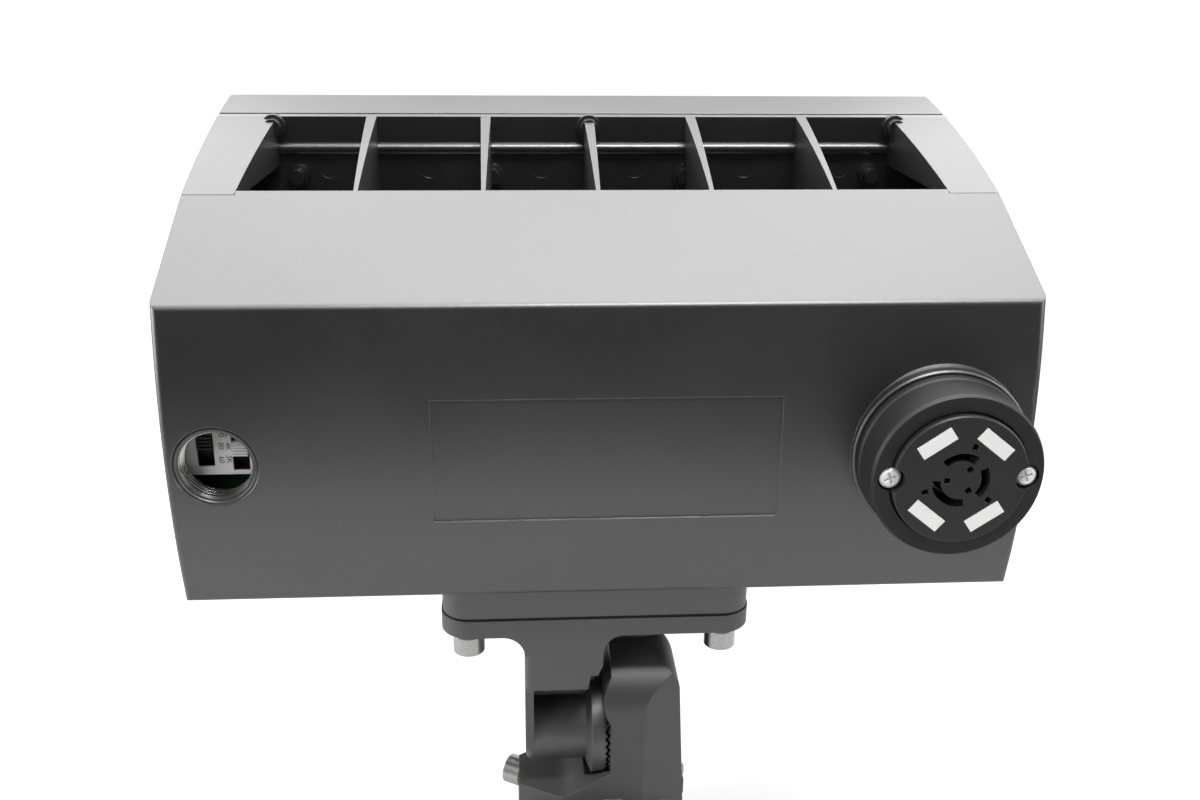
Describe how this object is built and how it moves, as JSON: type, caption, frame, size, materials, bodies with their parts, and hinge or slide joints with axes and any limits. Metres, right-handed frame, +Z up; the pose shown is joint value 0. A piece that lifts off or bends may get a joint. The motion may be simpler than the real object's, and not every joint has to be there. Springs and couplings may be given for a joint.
{
  "type": "flood light",
  "caption": "Outdoor flood light with a finned heat sink, a control receptacle and selector switches on the back, and a toothed tilt knuckle on a slip fitter.",
  "frame": {"origin": "centre of the tenon socket's mouth at the foot of the slip fitter", "axes": "+Z up along the tenon, +Y the way the light shines, +X to the right as seen from behind, along the knuckle's axis"},
  "size_m": [0.324, 0.2006, 0.362],
  "materials": {
    "casting": "fine powder coat",
    "bracket_casting": "fine powder coat",
    "steel": "plain stainless",
    "rubber": "moulded silicone",
    "cover_paint": "powder coat",
    "driver_case": "plain extruded",
    "green_board": "solder mask",
    "pale_panel": "moulded",
    "black_plastic": "moulded",
    "pale_plastic": "moulded",
    "pad_metal": "tin plated",
    "brass_contact": "plain",
    "lens_glass": "clear",
    "white_board": "white mask",
    "led_phosphor": "phosphor",
    "optic": "clear moulded"
  },
  "bodies": {
    "mount": {"slip_fitter": "bracket_casting", "tenon_screws": "steel", "knuckle_bolt": "steel", "knuckle_washer": "steel", "knuckle_nut": "steel"},
    "head": {"bracket_arm": "bracket_casting", "bracket_gasket": "rubber", "bracket_screws": "steel", "bracket_spring_washers": "steel", "bracket_flat_washers": "steel", "driver_housing": "casting", "cover_gasket": "rubber", "driver_cover": "cover_paint", "cover_screws": "steel", "driver": "driver_case", "driver_screws": "steel", "selector_board": "green_board", "selector_screws": "steel", "selector_panel": "pale_panel", "power_switch": "black_plastic", "colour_switch": "black_plastic", "receptacle_gasket": "rubber", "receptacle_body": "black_plastic", "receptacle_face": "black_plastic", "receptacle_screws": "steel", "dimming_pads": "pad_metal", "line_contacts": "brass_contact", "heat_sink": "casting", "fins": "casting", "left_cheek": "casting", "right_cheek": "casting", "sink_pillars": "casting", "housing_bolts": "steel", "frame_gasket": "rubber", "front_frame": "casting", "frame_screws": "steel", "lens": "lens_glass", "lens_gasket": "rubber", "lens_clips": "steel", "clip_screws": "steel", "led_board": "white_board", "leds": "led_phosphor", "optic_plates": "optic", "board_screws": "steel"},
    "power_knob": {"power_slider": "black_plastic"},
    "colour_knob": {"colour_slider": "pale_plastic"}
  },
  "joints": [
    {"name": "head_tilt", "type": "hinge", "parent": "mount", "child": "head", "pos_m": [0, 0, 0.1095], "axis": [1, 0, 0], "range_deg": [-85, 90]},
    {"name": "power_slide", "type": "slide", "parent": "head", "child": "power_knob", "axis": [0, 0, 1], "range_m": [-0.0066, 0]},
    {"name": "colour_slide", "type": "slide", "parent": "head", "child": "colour_knob", "axis": [0, 0, 1], "range_m": [-0.0057, 0.0057]}
  ]
}
